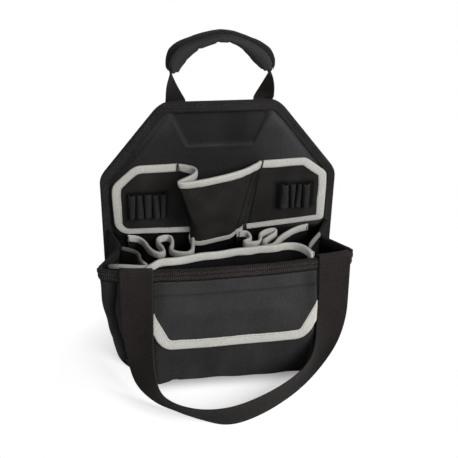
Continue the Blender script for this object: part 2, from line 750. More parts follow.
def slacken_front(grid):
    """Soft hollows and swells of the front panel, and the crease beside each side seam; also their tones."""
    x, z = grid[..., 0], grid[..., 2]
    share = z / RIM_HEIGHT
    hold = ease(share / 0.12) * ease((1 - share) / 0.14)
    corner = ease((np.abs(x) - 104) / 22)
    belly = corner * hump(share) * 2.2
    left_crease = np.interp(z, (18, 41, 56, 84, 130), (141.0, 144.5, 148.0, 151.0, 151.0))
    crease_x = np.where(x < 0, left_crease, 147.0)
    deep = np.where(x < 0, 6.0, 3.0) * ease((1.02 - share) / 0.14) * ease((share + 0.02) / 0.1)
    crease = bell(np.abs(x) - crease_x, 2.9) * deep
    loose = ripple(grid, 60.0, 21) * 0.7 * corner + ripple(grid, 34.0, 22) * 0.25
    return grid + front_normals(grid) * (hold * (belly + loose) - crease)[..., None], -0.14 * crease


def front_panel():
    heights = np.linspace(WALL_FOOT, RIM_HEIGHT, 56)
    grid, tones = slacken_front(np.array([front_row(height, 40) for height in heights]))
    panel = cloth_piece("front_cloth", lean(grid), "charcoal_cloth", "bag", "front_panel",
                        thickness=FRONT_PANEL)
    tint(panel, tones)
    edge, inner = (lean(front_row(RIM_HEIGHT - drop)) for drop in (0.0, RIM_TAPE_WIDTH))
    path, inward, normal = edge_frames(edge, inner)
    tape = tape_piece("front_rim_binding", path, inward, normal, 3.1, RIM_TAPE_WIDTH, "rim_tape", "bag",
                      "front_rim_tape", seed=7, ridges=0.8, zigzag=1.0)
    tones = RIM_TAPE_TONES + (-0.2,) * len(CREST_ANGLES) + RIM_TAPE_TONES[::-1]
    tint(tape, np.tile(tones, (len(path), 1)))
    for reach in (4.0, RIM_TAPE_WIDTH - 2.5):
        sewn_tape(path, inward, normal, reach, RIM_TAPE_FACE + 0.15, "black_thread")


def gusset_row(side, height, start=1.2):
    """One level of a gusset, from the front panel's seam round the pleat's soft fold to the back panel."""
    share = height / RIM_HEIGHT
    tip = lean(front_point(side, np.array([math.pi / 2]), float(height)))[0]
    top_half, top_y = FOLD_TOP[side]
    fold = np.array([side * lerp(FOLD_FOOT[0], top_half, share), lerp(FOLD_FOOT[1], top_y, share), height])
    tie = np.array([side * lerp(*TIE_HALF, share), TIE_Y, height])
    tip = tip + unit(fold - tip) * start
    bend = min(12.0, np.linalg.norm(fold - tip) * 0.3)
    near, far = fold + unit(tip - fold) * bend, fold + unit(tie - fold) * bend
    soft = lerp(lerp(near, far, 0.5), fold, 0.55)
    return np.array([tip, lerp(tip, near, 0.5), near, soft, far, lerp(far, tie, 0.5), tie])


def gussets():
    for side, word in SIDES:
        heights = np.linspace(WALL_FOOT, RIM_HEIGHT, 40)
        grid = np.array([resample_row(gusset_row(side, height), 48) for height in heights])
        share = grid[..., 2] / RIM_HEIGHT
        hold = ease(share / 0.1) * ease((1 - share) / 0.1) * np.sin(np.linspace(0, math.pi, 48))
        swell = ripple(grid, 52.0, 31 + side) * 1.4 + 2.0 * side * np.sin(math.pi * share)
        grid = grid + grid_normals(grid) * (swell * hold)[..., None]
        gusset = cloth_piece(word + "_gusset_cloth", grid, "black_cloth", "bag", word + "_gusset")
        tint(gusset, -0.6 - 0.28 * ease((grid[..., 1] + 5) / 20))
        edge, inner = (resample_row(gusset_row(side, height, 2.4), 60)
                       for height in (RIM_HEIGHT, RIM_HEIGHT - GUSSET_TAPE_WIDTH))
        path, inward, normal = edge_frames(edge, inner)
        tape = tape_piece(word + "_gusset_binding", path, inward, normal, CLOTH, GUSSET_TAPE_WIDTH,
                          "black_tape", "bag", word + "_gusset_tape", seed=9)
        tint(tape, along_tape(-0.42 - 0.35 * ease((path[:, 1] - 14) / 20)))


def base():
    """The base cloth follows the front panel's foot, and goes straight back from its seams."""
    rows = []
    for turn in np.linspace(0.0, math.pi / 2, 18):
        x, y, _ = front_point(1, np.array([turn]), 0.0)[0]
        rows.append((x + BASE_REACH, y - BASE_REACH * math.cos(turn)))
    side = np.array(rows[-1])
    rows += [lerp(side, BASE_REAR, share) for share in np.linspace(0, 1, 13)[1:]]
    grid = np.array([[(half * share, y, 1.0) for share in np.linspace(-1, 1, 60)] for half, y in rows])
    bottom = cloth_piece("base_cloth", lean(grid), "black_cloth", "bag", "base_panel", thickness=BASE_CLOTH)
    tint(bottom, np.full(grid.shape[:2], -0.4))


# Front pocket and flap

POCKET_TOP = 95.0
POCKET_HALF = (99.0, 105.5)
POCKET_DEPTH = (15.0, 11.0)
POCKET_CORNER = 7.0
PATCH_FOOT, PATCH_TOP = 62, 84

FLAP_TOP, FLAP_FOOT, FLAP_CHAMFER, FLAP_SEWN = 118.5, 47.0, 68.0, 126.5
FLAP_HALF, FLAP_FOOT_HALF, FLAP_NARROW = 104.5, 83.0, 1.2
FLAP_CLOTH = 2.0
FLAP_STAND_OFF = 3 * GAP + 1.6 + FLAP_CLOTH / 2
# The grey edge of the flap from its top to the middle of its foot: outer and inner edge, across and up
FLAP_TAPE = (
    (104.5, 95, 104.0, 95), (104.5, 90, 102.4, 90), (104.5, 80, 96.9, 80), (104.4, 70, 91.0, 70),
    (102.6, 66, 88.6, 65.7), (98, 57.5, 86.6, 61.6), (91.6, 50.9, 84.6, 59.4), (86, 48.1, 82, 58.3),
    (80, 47.1, 79, 57.9), (60, 47, 60, 57.8), (30, 47, 30, 57.8), (0, 47, 0, 57.8),
)
FLAP_BEND = ("bag", "flap", (0.0, -51.02, 121.5), (0.0, -51.02, 113.0))


def front_face_y(height):
    return FRONT_Y + RIM_SETBACK * height / RIM_HEIGHT - FRONT_PANEL / 2


def pocket_front_y(height):
    return front_face_y(height) - GAP - lerp(*POCKET_DEPTH, height / POCKET_TOP)


def front_pocket():
    """A soft wedge: its two sides and its foot are turned round to the front panel."""
    heights = np.concatenate([[0.0] * 7, np.linspace(1.5, POCKET_TOP, 40)])
    rows = []
    for index, height in enumerate(heights):
        half = lerp(*POCKET_HALF, height / POCKET_TOP) + 1.5 * math.sin(math.pi * min(1.0, height / 60.0))
        rear = front_face_y(height) - 0.4
        reach = (rear - pocket_front_y(height)) * (1 - max(0.0, (6 - index) / 6.0))
        cut = min(POCKET_CORNER, reach * 0.6 + 0.01)
        side = [(half, rear - (reach - cut) * share) for share in np.linspace(0, 1, 5)[:-1]]
        for turn in np.linspace(0, math.pi / 2, 9):
            side.append((half - cut + cut * math.cos(turn), rear - reach + cut - cut * math.sin(turn)))
        end, front = side[-1]
        row = [(-x, y) for x, y in side] + [(x, front) for x in np.linspace(-end, end, 56)[1:-1]] + side[::-1]
        rows.append([(x, y, max(1.2, height)) for x, y in row])
    grid = np.array(rows)
    x, y, z = grid[..., 0], grid[..., 1], grid[..., 2]
    share = z / POCKET_TOP
    hold = ease((1.02 - share) / 0.15) * ease(z / 8.0)
    puff = 1.3 * hump(share) + 0.7 * ripple(grid, 48.0, 41) + 0.3 * ripple(grid, 20.0, 42)
    fold = 1.8 * bell((x + 74) * 0.85 - (z - 4) * 0.55, 3.6) * ease((46 - z) / 30)
    front = ease((front_face_y(z) - y - 4) / 6)
    grid = grid + front_normals(grid, foot=1.0) * (hold * puff * front - fold * front)[..., None]
    corner = bell(x + 100, 13.0) * ease((34 - z) / 34) * front
    hem = ease((16 - z) / 16) * front * (0.8 * np.sin(x / 17.0) + 0.6 * np.sin(x / 7.3 + 1.0))
    grid[..., 1] -= 7.0 * corner + hem
    grid[..., 0] -= 2.0 * corner
    pocket = cloth_piece("front_pocket_cloth", lean(grid), "charcoal_cloth", "bag", "front_pocket")
    tint(pocket, -0.18 + 0.1 * ripple(grid, 40.0, 43))
    middle = grid[:, grid.shape[1] // 2, 2]
    span = grid[(middle > PATCH_FOOT) & (middle < PATCH_TOP)]
    patch = span[:, np.abs(span[0, :, 0]) < 56] - np.array([0.0, 1.2, 0.0])
    cloth_piece("pocket_loop_patch", lean(patch), "hook_and_loop", "bag", "pocket_loop_strip",
                thickness=PATCH)
    seam("bag", "black_thread", lean(grid[-3])[14:-14] + np.array([0, -0.85, 0]))


def flap_y(height):
    """The flap hangs over the pocket, and goes up to the front panel above the pocket's mouth."""
    low = pocket_front_y(np.minimum(height, POCKET_TOP)) - FLAP_STAND_OFF
    top = front_face_y(np.maximum(height, FLAP_TOP)) - GAP - FLAP_CLOTH / 2
    return lerp(low, top, np.clip((height - POCKET_TOP) / (FLAP_TOP - POCKET_TOP), 0, 1))


def flap_half(height, side):
    full = FLAP_HALF - (FLAP_NARROW if side < 0 else 0.0)
    rounded = np.clip((height - FLAP_FOOT) / (FLAP_CHAMFER - FLAP_FOOT), 0, 1) ** 0.55
    return np.where(height >= FLAP_CHAMFER, full, lerp(FLAP_FOOT_HALF, full, rounded))


def flap_sag(points):
    """The flap's soft swell, least at its hinge."""
    share = np.clip((FLAP_TOP - points[..., 2]) / (FLAP_TOP - FLAP_FOOT), 0, 1)
    swell = 0.9 * np.sin(math.pi * share) + 0.45 * ripple(points, 58.0, 51) * share
    return points + np.array([0.0, -1.0, 0.0]) * (swell * ease(share / 0.2))[..., None]


def flap():
    """The flap's cloth bends where it is sewn on; its hook strip and its grey edge swing with it."""
    grid = np.array([[(x, float(flap_y(z)), z) for x in np.linspace(-flap_half(z, -1), flap_half(z, 1), 80)]
                     for z in np.linspace(FLAP_FOOT, FLAP_SEWN, 54)])
    panel = cloth_piece("flap_cloth", lean(flap_sag(grid)), "charcoal_cloth", FLAP_BEND, "flap_panel",
                        thickness=FLAP_CLOTH)
    across, up = grid[..., 0], grid[..., 2]
    shaded = 0.3 * bell(np.abs(across) - 98, 9.0) * ease((up - 82) / 14)
    tint(panel, 0.14 * ease((up - 84) / 14) - 0.5 * bell(up - 111.0, 0.9) - shaded)
    hooks = np.array([[(x, float(flap_y(z)) + 1.4, z) for x in np.linspace(-55, 55, 60)]
                      for z in np.linspace(PATCH_FOOT, PATCH_TOP, 16)])
    cloth_piece("flap_hook_patch", lean(flap_sag(hooks)), "hook_and_loop", "flap", "flap_hook_strip",
                thickness=PATCH)
    table = np.array(FLAP_TAPE, float)
    table = np.vstack([table * (-1, 1, -1, 1) + (FLAP_NARROW, 0, FLAP_NARROW, 0), table[-2::-1]])
    rows = refine([(a, float(flap_y(b)), b, c, float(flap_y(d)), d) for a, b, c, d in table], FINE, 8)
    path, inner = lean(flap_sag(rows[:, :3])), lean(flap_sag(rows[:, 3:]))
    width = np.linalg.norm(inner - path, axis=1)
    inward = unit(inner - path)
    normal = unit(np.cross(inward, np.gradient(path, axis=0)))
    normal = normal * np.sign(-normal[:, 1:2])
    binding = tape_piece("flap_edge_binding", path, inward, normal, FLAP_CLOTH, width, "grey_tape", "flap",
                         "flap_binding", seed=13)
    tint(binding, along_tape(np.full(len(path), 0.2)))
    seam("flap", "grey_thread", path + inward * (width * 0.86)[:, None] + normal * 2.7)
    seam("flap", "black_thread", lean(flap_sag(grid[43]))[3:-3] + np.array([0.0, -1.2, 0.0]))


# Carrying strap

STRAP_HALF = 20.0
STRAP_SPREAD, STRAP_REACH = 128.0, 137.0
STRAP_ROOT_Y, STRAP_ROOT_Z = -49.15, 144.31
STRAP_FLOOR = 1.2
STRAP_BEND = ("bag", "strap", (0.0, STRAP_ROOT_Y, STRAP_ROOT_Z), (0.0, -53.5, 136.5))
STRAP_END_FOOT, STRAP_END_TOP = 96.0, 143.0
# Along the strap from its left end: how far its middle is across, forward and up, as shares of its
# spread, its reach and its rise, and then the way its width runs there
STRAP_SHARES = (
    (-1.000, 0.000, 1.000, -1.000, 0.000, 0.000),
    (-0.990, 0.187, 0.705, -0.948, 0.231, -0.220),
    (-0.966, 0.391, 0.428, -0.810, 0.378, -0.449),
    (-0.910, 0.589, 0.191, -0.520, 0.481, -0.706),
    (-0.797, 0.720, 0.053, -0.093, 0.548, -0.831),
    (-0.620, 0.824, 0.005, 0.213, 0.524, -0.824),
    (-0.400, 0.940, 0.000, 0.259, 0.476, -0.840),
    (-0.194, 1.000, 0.000, 0.086, 0.378, -0.922),
    (0.014, 0.968, 0.000, -0.072, 0.279, -0.958),
    (0.277, 0.847, 0.000, -0.134, 0.216, -0.967),
    (0.526, 0.676, 0.000, -0.158, 0.160, -0.974),
    (0.718, 0.488, 0.004, -0.003, 0.140, -0.990),
    (0.870, 0.305, 0.064, 0.389, 0.120, -0.913),
    (0.973, 0.166, 0.196, 0.806, 0.076, -0.587),
    (1.017, 0.092, 0.391, 0.986, 0.105, -0.129),
    (1.019, 0.044, 0.653, 0.995, 0.097, 0.019),
    (1.000, 0.000, 1.000, 1.000, 0.000, 0.000),
)


def strap_edges():
    rows = []
    for across, forward, up, *way in STRAP_SHARES:
        band = unit(np.array(way)) * STRAP_HALF
        height = lerp(STRAP_FLOOR, STRAP_ROOT_Z, up) + abs(band[2])
        middle = np.array([across * STRAP_SPREAD, STRAP_ROOT_Y - forward * STRAP_REACH, height])
        rows.append(np.concatenate([middle + band, middle - band]))
    return np.array(rows)


def carry_strap():
    shares = np.linspace(0, 1, 33)
    grid = np.array([lerp(row[:3], row[3:], shares[:, None]) for row in refine(strap_edges(), FINE)])
    curl = np.sin(math.pi * shares) * 0.7 * ease(np.minimum(grid[..., 2], 40) / 40)
    grid = strap_lean(grid + grid_normals(grid) * (curl + 0.25 * ripple(grid, 70.0, 55))[..., None])
    grid[..., 2] = np.maximum(grid[..., 2], 1.25)
    strap = cloth_piece("carry_strap_webbing", grid, "webbing", STRAP_BEND, "carry_strap", thickness=STRAP)
    tint(strap, -ease((60 - grid[..., 2]) / 45) * (0.3 + 0.32 * ease((grid[..., 0] - 50) / 40)))


def inside_point(turn, height, away):
    """A place at a distance inside the front panel."""
    flat, tip, spot = (front_point(1, np.array([angle]), height)[0] for angle in (0.0, math.pi / 2, turn))
    along = unit(np.array([(tip[0] - flat[0]) * math.cos(turn), (tip[1] - flat[1]) * math.sin(turn), 0.0]))
    return spot + np.array([-along[1], along[0], 0.0]) * away


def inside_y(across, height, away):
    """How far back the inside of the front panel is at a place across, found by halving."""
    low, high = 0.0, math.pi / 2
    for _ in range(24):
        turn = (low + high) / 2
        if inside_point(turn, height, away)[0] < across:
            low = turn
        else:
            high = turn
    return inside_point(low, height, away)[1]


def strap_ends():
    """The strap's ends are sewn down inside the rim, and come up to meet it on the rim's top."""
    inside = RIM_TAPE_FACE + 2 * GAP + STRAP / 2
    columns = np.linspace(STRAP_SPREAD - STRAP_HALF, STRAP_SPREAD + STRAP_HALF, 17)
    for side, word in SIDES:
        rows = [[(side * x, inside_y(x, float(height), inside), height) for x in columns]
                for height in np.linspace(STRAP_END_FOOT, STRAP_END_TOP, 24)]
        behind = np.array(rows[-1])
        front = np.array([(side * x, STRAP_ROOT_Y + 1.2, STRAP_ROOT_Z) for x in columns])
        for share in np.linspace(0.12, 1.0, 8):
            row = lerp(behind, front, share)
            row[:, 2] = lerp(STRAP_END_TOP, 144.4, math.sin(share * math.pi / 2))
            rows.append(row.tolist())
        cloth_piece(word + "_strap_end", strap_lean(np.array(rows)), "webbing", "bag", word + "_strap_anchor",
                    thickness=STRAP)
        for x in (columns[1], columns[-2]):
            line = [(side * x, inside_y(x, z, inside) + 1.0, z) for z in (99.0, 119.0, 138.0)]
            seam("bag", "black_thread", strap_lean(dense_line(line)))


# Handle

HANDLE_Y, PIVOT_Z = 79.7, 319.1
HANDLE_HALF = 12.5
# The arch of the webbing through the grip: half its width, its rise and the height it springs from
ARCH_HALF, ARCH_RISE, ARCH_FOOT = 63.0, 47.0, 353.1
# Each leg: its stations, the height of its foot, and its outer edge at its foot and where it enters the grip
LEG_ROWS, LEG_FOOT, LEG_EDGES = 29, 318.3, (69.75, 65.0)
TAIL_X, TAIL_FOOT, TAIL_TOP = LEG_EDGES[0] - HANDLE_HALF, 248.0, 318.0
HANDLE_BEND = ("bag", "handle", (0.0, HANDLE_Y, PIVOT_Z), (0.0, HANDLE_Y, 353.0))

# Along the grip: degrees from its top, how far its middle is outside the arch, and half its height
GRIP_SHAPE = (
    (-90, -3.2, 6.0), (-84, -2.9, 7.4), (-72, -2.1, 10.6), (-60, -1.3, 12.6), (-48, -1.7, 11.3),
    (-36, -2.2, 8.8), (-24, -2.2, 7.0), (-12, -1.6, 6.4), (0, 0.0, 6.2), (12, -0.3, 6.2), (24, -2.0, 7.0),
    (36, -3.4, 9.3), (48, -3.5, 11.8), (60, -2.6, 13.2), (72, -2.0, 12.0), (84, -1.8, 7.8), (90, -1.8, 6.0),
)
GRIP_END = 84.0
GRIP_DEPTH = 35.0
GRIP_SQUARE = 0.9
# Creases of the grip's cloth: degrees from its top, width in degrees and depth
GRIP_CREASES = (
    (-58, 5.0, 0.5), (-31, 2.6, 1.7), (-4, 2.4, 1.9), (11, 2.2, 1.3), (33, 6.0, 0.4), (52, 5.0, 0.5),
)
GRIP_TAPE_TONES = (-0.8, -0.35, -0.1, -0.05, -0.1, -0.2, -0.3)


def arch_spots(angles):
    """Places on the webbing's arch at angles in radians from its top, and the ways outwards there."""
    sines, cosines, none = np.sin(angles), np.cos(angles), np.zeros_like(angles)
    spots = np.stack([sines * ARCH_HALF, none + HANDLE_Y, ARCH_FOOT + cosines * ARCH_RISE], axis=-1)
    return spots, unit(np.stack([sines * ARCH_RISE, none, cosines * ARCH_HALF], axis=-1))


def grip_spots(angles):
    """The middle of the grip at angles in radians from its top, the ways outwards and half its height."""
    along, middles, halves = zip(*GRIP_SHAPE)
    degrees = np.degrees(angles)
    spots, outward = arch_spots(angles)
    middle = spots + outward * np.interp(degrees, along, middles)[..., None]
    return middle, outward, np.interp(degrees, along, halves)


def grip_ring(angle, sides, thicker):
    """Points round the grip, from its front up and over to its back."""
    centre, outward, half = grip_spots(angle)
    across, up = (np.copysign(np.abs(part) ** GRIP_SQUARE, part) for part in (np.cos(sides), np.sin(sides)))
    forward = across[:, None] * (GRIP_DEPTH / 2 + thicker) * np.array([0.0, 1.0, 0.0])
    return centre - forward + up[:, None] * (half + thicker) * outward


def grip_places(points):
    """Where points are on the grip: degrees from its top, and radians round it from its front."""
    along = np.arctan2(points[:, 0] / ARCH_HALF, (points[:, 2] - ARCH_FOOT) / ARCH_RISE)
    spots, outward, _ = grip_spots(along)
    away = points - spots
    return np.degrees(along), np.arctan2(np.sum(away * outward, axis=1), -away[:, 1]) % (2 * math.pi)


def tape_start(degrees):
    """Where the grip's edge tape is sewn, in degrees round it: further forward near both ends."""
    return 66.0 - 24.0 * ease((np.abs(degrees) - 22.0) / 40.0)


def seam_share(along, around, width=0.09):
    return bell(around - np.radians(tape_start(along)), width)


def grip_held(points):
    """How firmly the grip's cloth is held: at both ends and along the edge tape's seam."""
    along, around = grip_places(points)
    return np.maximum(ease((np.abs(along) - GRIP_END + 5.0) / 4.0), seam_share(along, around, 0.16))


def final_mesh(obj):
    """Takes the modifiers' result as the mesh of the piece, and leaves none on it."""
    seen = obj.evaluated_get(bpy.context.evaluated_depsgraph_get())
    mesh = bpy.data.meshes.new_from_object(seen)
    obj.modifiers.clear()
    obj.data = mesh


def blow_up(obj, held, voxel=2.6, pressure=4.0, most=3.0, frames=20):
    """Swells a closed form with Blender's Cloth; points where held is near 1 are sewn down."""
    remesh = obj.modifiers.new("even", "REMESH")
    remesh.mode = "VOXEL"
    remesh.voxel_size = voxel * MM
    final_mesh(obj)
    start = mesh_points(obj.data)
    sewn = obj.vertex_groups.new(name="sewn")
    for index, weight in enumerate(held(start)):
        sewn.add([index], float(weight), "REPLACE")
    cloth = obj.modifiers.new("cloth", "CLOTH")
    cloth.settings.vertex_group_mass = "sewn"
    cloth.settings.use_pressure = True
    cloth.settings.uniform_pressure_force = pressure
    cloth.settings.effector_weights.gravity = 0.0
    cloth.point_cache.frame_start = 1
    cloth.point_cache.frame_end = frames
    for frame_number in range(1, frames + 1):
        bpy.context.scene.frame_set(frame_number)
    final_mesh(obj)
    moved = mesh_points(obj.data) - start
    far = np.linalg.norm(moved, axis=1, keepdims=True)
    set_points(obj.data, start + moved * np.minimum(1.0, most / np.maximum(far, 1e-6)))
    obj.vertex_groups.clear()
    bpy.context.scene.frame_set(1)
    obj.modifiers.new("finer", "SUBSURF").levels = 1
    final_mesh(obj)


def laid_on(obj, grid, lift):
    """A grid of points brought to a height over the surface of a piece."""
    faces = [tuple(face.vertices) for face in obj.data.polygons]
    surface = BVHTree.FromPolygons([Vector(point) for point in mesh_points(obj.data)], faces)
    laid = np.empty_like(grid)
    for spot in np.ndindex(grid.shape[:2]):
        found, normal, _, _ = surface.find_nearest(Vector(grid[spot]))
        laid[spot] = np.array(found) + np.array(normal) * lift
    return laid


def grip():
    """The foam roll, the blown-up cover with its creases and tucks, and the tape along the cover's edge."""
    angles = np.radians(np.linspace(-GRIP_END, GRIP_END, 120))
    around = np.linspace(0, 2 * math.pi, 64, endpoint=False)
    foam = np.array([grip_ring(angle, around, -3.4) for angle in angles[3:-3]])
    cloth_piece("grip_foam_roll", foam, "foam", "handle", "grip_foam", thickness=1.0, wrap=True)
    cover = closed_tube("grip_cover_cloth", np.array([grip_ring(angle, around, -0.3) for angle in angles]))
    blow_up(cover, grip_held)
    points, normal = mesh_points(cover.data), vertex_values(cover.data, "normal")
    degrees, turn = grip_places(points)
    below = ease(-np.sin(turn) * 1.4 + 0.2)
    creases = sum(bell(degrees - at, width) * deep for at, width, deep in GRIP_CREASES)
    loose = 0.12 * ripple(points, 15.0, 61) + 0.4 * ripple(points, 40.0, 62)
    tucks = bell(GRIP_END - np.abs(degrees), 7.0) * (0.6 + 0.9 * np.sin(turn * 9 + 2.0 * np.sign(degrees)))
    sewn = seam_share(degrees, turn)
    points = points + normal * (loose - creases * (0.1 + 0.9 * below) - tucks - 0.8 * sewn)[:, None]
    set_points(cover.data, points)
    along, round_it = grip_places(mesh_points(cover.data))
    set_map(cover.data, np.column_stack([round_it * 14.0, along * 0.95]))
    cover.data.shade_smooth()
    rings = []
    for angle in angles[2:-2]:
        sides = np.radians(np.linspace(tape_start(math.degrees(angle)), 138.0, len(GRIP_TAPE_TONES)))
        rings.append(grip_ring(angle, sides, 1.5))
    edge = laid_on(cover, np.array(rings), TAPE)
    place(cover, "grip_cloth", "handle", "grip_cover")
    tint(cover, 0.2 * bell(turn - math.radians(30), 0.5) - 0.5 * sewn - 0.25 * creases * below)
    tape = cloth_piece("grip_edge_binding", edge, "black_tape", "handle", "grip_edge_tape", thickness=TAPE)
    tint(tape, np.tile(GRIP_TAPE_TONES, (len(edge), 1)))
    seam("handle", "black_thread", edge[:, 0] + np.array([0.0, -0.9, 0.3]), GRIP_THREAD)


def leg_rows(side, last_turn):
    """One end of the webbing: flat at the panel's top, and turned edge-on where it enters the grip."""
    rows = []
    for share in np.linspace(0, 1, LEG_ROWS + 1)[:-1]:
        turn = math.acos(1 - (1 - math.cos(last_turn)) * share)
        band = np.array([math.cos(turn), math.sin(turn), 0.0]) * HANDLE_HALF
        edge = -lerp(*LEG_EDGES, share ** 2.6)
        middle = np.array([edge + HANDLE_HALF * math.cos(turn), HANDLE_Y, lerp(LEG_FOOT, ARCH_FOOT, share)])
        rows.append(np.concatenate([middle - band, middle + band]))
    return np.array(rows) * (-side, 1, 1, -side, 1, 1)


def handle_webbing():
    spots, _ = arch_spots(np.linspace(-math.pi / 2, math.pi / 2, 40))
    arch = np.hstack([spots - (0, HANDLE_HALF, 0), spots + (0, HANDLE_HALF, 0)])
    table = np.vstack([leg_rows(-1, math.radians(83)), arch, leg_rows(1, math.radians(97))[::-1]])
    shares = np.linspace(0, 1, 15)[:, None]
    grid = np.array([lerp(row[:3], row[3:], shares) for row in table])
    strip = cloth_piece("handle_strip", grid, "webbing", HANDLE_BEND, "handle_webbing", thickness=HANDLE)
    tones = np.where(np.arange(len(table)) < LEG_ROWS, -0.42, -0.12)
    tint(strip, np.repeat(tones[:, None], len(shares), axis=1))
    for side, word in SIDES:
        columns = np.linspace(side * TAIL_X - HANDLE_HALF, side * TAIL_X + HANDLE_HALF, 15)
        grid = np.array([[(x, HANDLE_Y, z) for x in columns] for z in np.linspace(TAIL_FOOT, TAIL_TOP, 40)])
        cloth_piece(word + "_handle_end", grid, "webbing", "bag", word + "_handle_tail", thickness=HANDLE)
        left, right, low, high = columns[0] + 3, columns[-1] - 3, TAIL_FOOT + 3, 290.0
        box = [(left, low), (right, low), (right, high), (left, high), (left, low), (right, high)]
        for line in (box, [(left, high), (right, low)]):
            seam("bag", "black_thread", dense_line([(x, HANDLE_Y + 0.85, z) for x, z in line]))


# Organiser

WING_Y = 63.95
WING_TOP, WING_FOOT = 236.0, 137.0
# The corners of each wing's edge, from the sleeve's mouth round to the sleeve's foot, across and up
WING_CORNERS = {
    -1: ((-56, 235.5), (-113, 234.5), (-143, 207.5), (-143.5, 191), (-142, 150), (-136, 141), (-128, 137),
         (-40, 135.5)),
    1: ((56, 235.5), (116, 237.5), (144.5, 216), (145.5, 200), (145, 145.5), (38, 136)),
}
WING_ROUNDING = {-1: 9.0, 1: 5.0}
# The middle of each strip of elastic, across and up, and half its size
ELASTIC_PLACES = {-1: (-98.5, 178.5), 1: (102.5, 185.0)}
ELASTIC_REACH = (25.0, 17.5)


def wing_outline(side):
    corners = np.array(WING_CORNERS[side], float)
    path = [corners[0]]
    for before, corner, after in zip(corners, corners[1:], corners[2:]):
        shorter = min(np.linalg.norm(before - corner), np.linalg.norm(after - corner))
        cut = min(WING_ROUNDING[side], shorter / 2)
        near, far = corner + unit(before - corner) * cut, corner + unit(after - corner) * cut
        for share in np.linspace(0, 1, 7):
            path.append(lerp(lerp(near, corner, share), lerp(corner, far, share), share))
    path.append(corners[-1])
    return dense_line([(x, WING_Y, z) for x, z in path], FINE)


def wing(side, word):
    """A wing of the organiser: its cloth, darker round the elastic, and its grey tape with its stitches."""
    path = wing_outline(side)
    rows = []
    for z in np.linspace(WING_FOOT, WING_TOP - 2.0, 44):
        edge = np.abs(path[np.abs(path[:, 2] - z) < 2.5, 0]).max() - 1.0
        inner = lerp(40.0, 56.0, (z - WING_FOOT) / (WING_TOP - WING_FOOT))
        rows.append([(side * x, WING_Y, z) for x in np.linspace(inner, edge, 44)])
    grid = np.array(rows)
    x, z = grid[..., 0], grid[..., 2]
    middle = hump((np.abs(x) - 45) / 95) * np.sin(math.pi * (z - WING_FOOT) / (WING_TOP - WING_FOOT))
    grid[..., 1] -= middle * (0.6 + 0.6 * ripple(grid, 40.0, 71 + side))
    cloth = cloth_piece("organiser_%s_cloth" % word, grid, "wing_cloth", "bag", "organiser_%s_wing" % word)
    beside = np.hypot(*[np.maximum(np.abs(place - centre) - reach, 0)
                        for place, centre, reach in zip((x, z), ELASTIC_PLACES[side], ELASTIC_REACH)])
    tint(cloth, 0.05 + 0.16 * ripple(grid, 38.0, 73 + side) - 0.75 * bell(beside, 3.2))
    level = np.abs(unit(np.gradient(path, axis=0))[:, 0])
    width = np.where(path[:, 2] < 170, lerp(9.6, 6.6, level), lerp(9.8, 8.8, level))
    inward, normal = flat_frames(path)
    inward = inward * side
    tape_piece("organiser_%s_tape" % word, path, inward, normal, CLOTH, width, "grey_tape", "bag",
               "organiser_%s_binding" % word, seed=17 + side, one_sided=True)
    seam("bag", "grey_thread", path + inward * (width * 0.86)[:, None] + normal * (TAPE_FACE + 0.1))


SLEEVE_MOUTH = (
    (-57, 62.6, 236), (-47, 57.5, 236), (-38, 51, 236), (-34.5, 41, 235.5), (-39, 30, 235),
    (-50, 19.5, 234.5), (-59, 12.5, 234), (-57, 9.5, 233.5), (-46, 9, 233.5), (-28, 12.5, 234),
    (-8, 19.5, 234.5), (10, 27, 235), (28, 37, 235.5), (44, 50, 236), (56, 62.6, 236),
)
SLEEVE_FOOT = (
    (-35, 62.6, 134), (-39, 60, 130), (-41, 57.5, 126), (-40.5, 55.5, 122.5), (-38, 54, 120.5),
    (-32, 53.3, 119.3), (-25, 54, 119.0), (-14, 57, 119.6), (-4, 59.5, 120.6), (6, 60.8, 121.8),
    (13, 61.2, 123.2), (18, 61.4, 126.5), (22, 61.6, 129.8), (27, 61.8, 132), (33, 62.3, 136),
)
# The two sewn lines down the sleeve's right side, across at its mouth and at its foot
SLEEVE_LINES = ((44.0, 21.0), (52.5, 31.0))
# From, to and half the width of each bartack
BARTACKS = (
    ((-126, 59.0, 133.5), (-124.5, 59.0, 126), 0.5),
    ((-78.5, 26, 129.5), (-82, 22, 123), 0.5),
    ((-38, 58.5, 130), (-38.5, 58.5, 123), 0.5),
    ((27.5, 58.8, 132), (27, 58.8, 125.5), 0.5),
    ((123, 58.8, 137), (122.5, 58.8, 131), 0.5),
    ((-57, 60.6, 237.5), (-58, 60.6, 226), 0.9),
    ((57, 60.6, 237.5), (55.5, 60.6, 226), 0.9),
    ((34.5, 60.8, 145), (33.5, 60.8, 134), 0.9),
)


